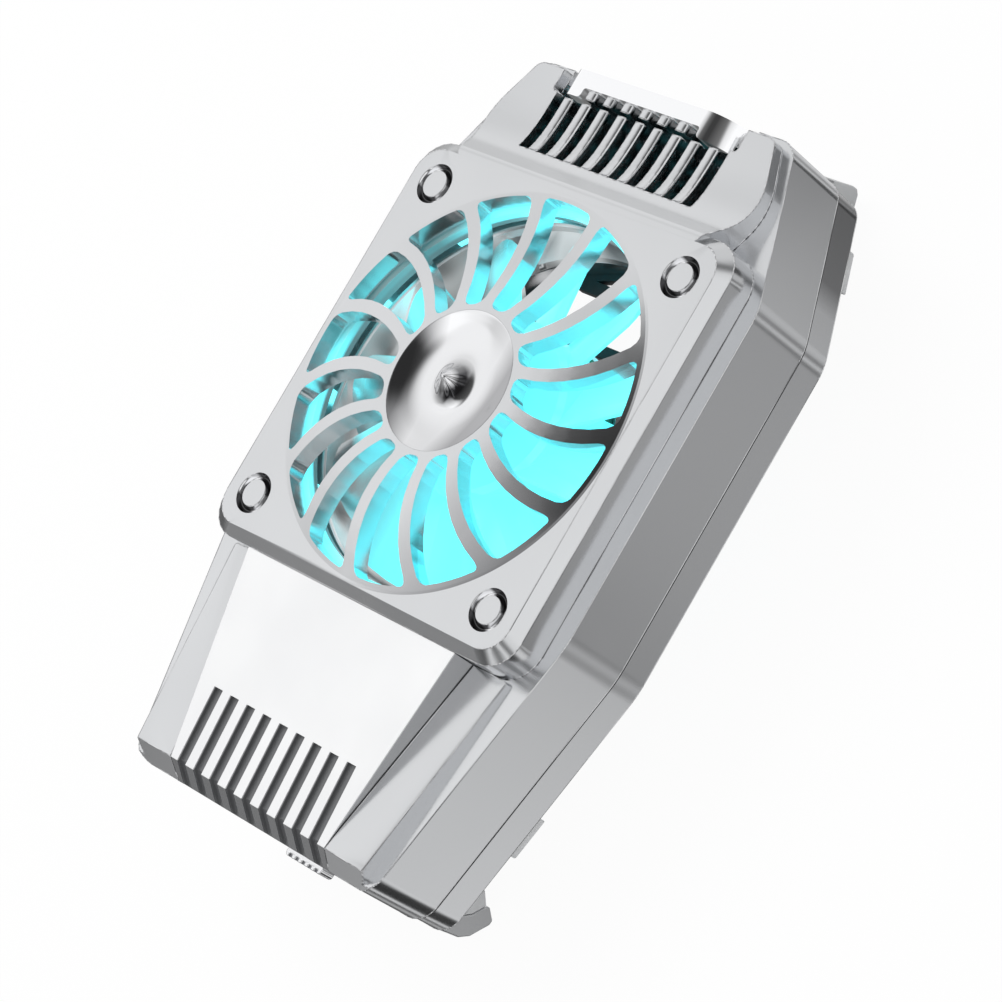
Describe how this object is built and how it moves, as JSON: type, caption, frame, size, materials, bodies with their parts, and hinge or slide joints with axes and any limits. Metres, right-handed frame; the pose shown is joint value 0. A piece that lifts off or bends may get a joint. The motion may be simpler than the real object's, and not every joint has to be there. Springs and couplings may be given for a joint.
{
  "type": "phone cooling fan",
  "caption": "Clip-on phone cooler: fan behind a swirl grille with a lit rim, finned air outlet at one end, and a sprung sliding claw that clamps the phone across its width",
  "frame": {"origin": "Middle of the bounding box in plan, on the plane under the tips of the claws", "axes": "+Z out of the grille, away from the phone; +Y towards the air outlet; +X to the right when the grille is seen with the outlet up"},
  "size_m": [0.044, 0.0764, 0.0258],
  "materials": {
    "silver": "satin",
    "silver_face": "satin",
    "polished": "polished",
    "white": "gloss",
    "black": "matt",
    "cyan_diffuser": "lit",
    "lamp": "lit",
    "impeller": "gloss",
    "steel": "plain",
    "magnet": "matt",
    "bronze": "plain",
    "copper": "varnished",
    "board": "varnished",
    "silicone": "matt"
  },
  "bodies": {
    "housing": {"front_shell": "silver", "grille_cover": "silver_face", "hub_cap": "polished", "screw_caps": "silver_face", "outlet_trim": "polished", "lower_panel": "white", "rear_shell": "silver", "rear_guard": "black", "light_ring": "cyan_diffuser", "led_board": "board", "leds": "lamp", "fan_frame": "silver", "bearing_sleeve": "bronze", "stator_core": "steel", "stator_coils": "copper", "motor_board": "board", "main_board": "board", "board_parts": "black", "usb_socket": "steel", "socket_tongue": "black", "slide_retainer": "steel", "claw_spring_left": "steel", "claw_spring_right": "steel", "upper_claw": "silver", "upper_claw_boot": "silicone", "back_pad_upper": "silicone", "back_pad_lower": "silicone", "case_screws": "steel", "shell_screws": "steel", "retainer_screws": "steel", "claw_screws": "steel"},
    "rotor": {"impeller": "impeller", "rotor_cup": "steel", "magnet_ring": "magnet", "motor_shaft": "steel"},
    "claw": {"lower_claw": "silver", "lower_claw_liner": "silicone", "pull_tab": "polished"}
  },
  "joints": [
    {"name": "fan_spin", "type": "hinge", "parent": "housing", "child": "rotor", "pos_m": [0, 0.0039, 0.016], "axis": [0, 0, -1], "continuous": true},
    {"name": "claw_slide", "type": "slide", "parent": "housing", "child": "claw", "axis": [0, -1, 0], "range_m": [0, 0.016], "stiffness_N_per_m": 150, "springref_m": -0.01, "deforming": ["claw_spring_left", "claw_spring_right"]}
  ]
}
